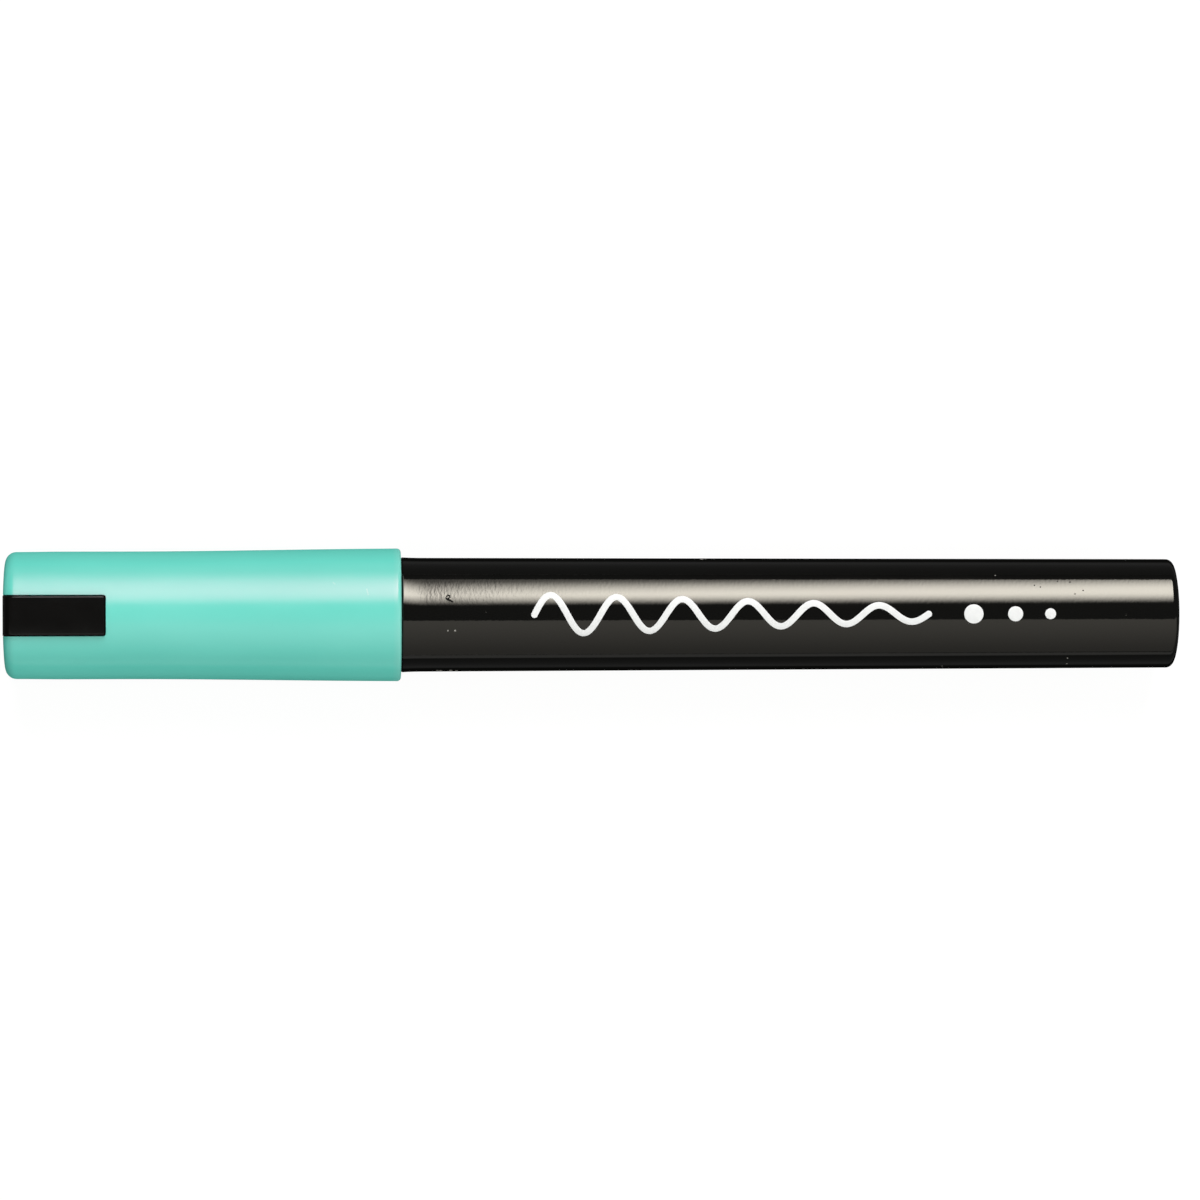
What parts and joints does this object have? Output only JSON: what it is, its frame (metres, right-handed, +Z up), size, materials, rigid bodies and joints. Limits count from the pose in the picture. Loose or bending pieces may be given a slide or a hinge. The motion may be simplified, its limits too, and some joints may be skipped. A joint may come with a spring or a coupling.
{
  "type": "paint marker",
  "caption": "Capped round paint marker with a flared cap, a black bar let into the cap, a closed barrel, a press-to-open valve nib and a mixing ball.",
  "frame": {"origin": "midway along the marker, on the surface it lies on, under its axis", "axes": "+X along the marker from the cap to the barrel's closed end, +Z up, with the cap's bar on top"},
  "size_m": [0.14, 0.0158, 0.0159],
  "materials": {
    "barrel_black": "high gloss moulded plastic with a faint ripple",
    "cap_turquoise": "satin moulded plastic",
    "insert_black": "satin moulded plastic",
    "inner_cap_natural": "soft waxy natural plastic",
    "nib_fibre": "porous fibre soaked with paint",
    "holder_black": "satin moulded plastic",
    "valve_white": "semi-matt natural plastic",
    "seal_rubber": "matt rubber",
    "spring_steel": "drawn bright wire",
    "ball_steel": "ground and polished"
  },
  "bodies": {
    "barrel_body": {"barrel": "barrel_black", "nib_holder": "holder_black", "valve_seat": "valve_white", "spring_cage": "valve_white", "valve_spring": "spring_steel"},
    "cap": {"cap_shell": "cap_turquoise", "cap_insert": "insert_black", "inner_cap": "inner_cap_natural"},
    "nib": {"nib": "nib_fibre"},
    "valve": {"valve_stem": "valve_white", "stem_seal": "seal_rubber"},
    "ball": {"mixing_ball": "ball_steel"}
  },
  "joints": [
    {"name": "cap_pull", "type": "slide", "parent": "barrel_body", "child": "cap", "axis": [-1, 0, 0], "range_m": [0, 0.055]},
    {"name": "nib_press", "type": "slide", "parent": "barrel_body", "child": "nib", "axis": [1, 0, 0], "range_m": [0, 0.002], "stiffness_N_per_m": 400, "springref_m": -0.003},
    {"name": "valve_open", "type": "slide", "parent": "barrel_body", "child": "valve", "axis": [1, 0, 0], "range_m": [0, 0.002], "deforming": ["valve_spring"]},
    {"name": "ball_roll", "type": "slide", "parent": "barrel_body", "child": "ball", "axis": [-1, 0, 0], "range_m": [0, 0.075]}
  ],
  "couplings": [
    {"joint": "valve_open", "follows": "nib_press", "ratio": 1}
  ]
}
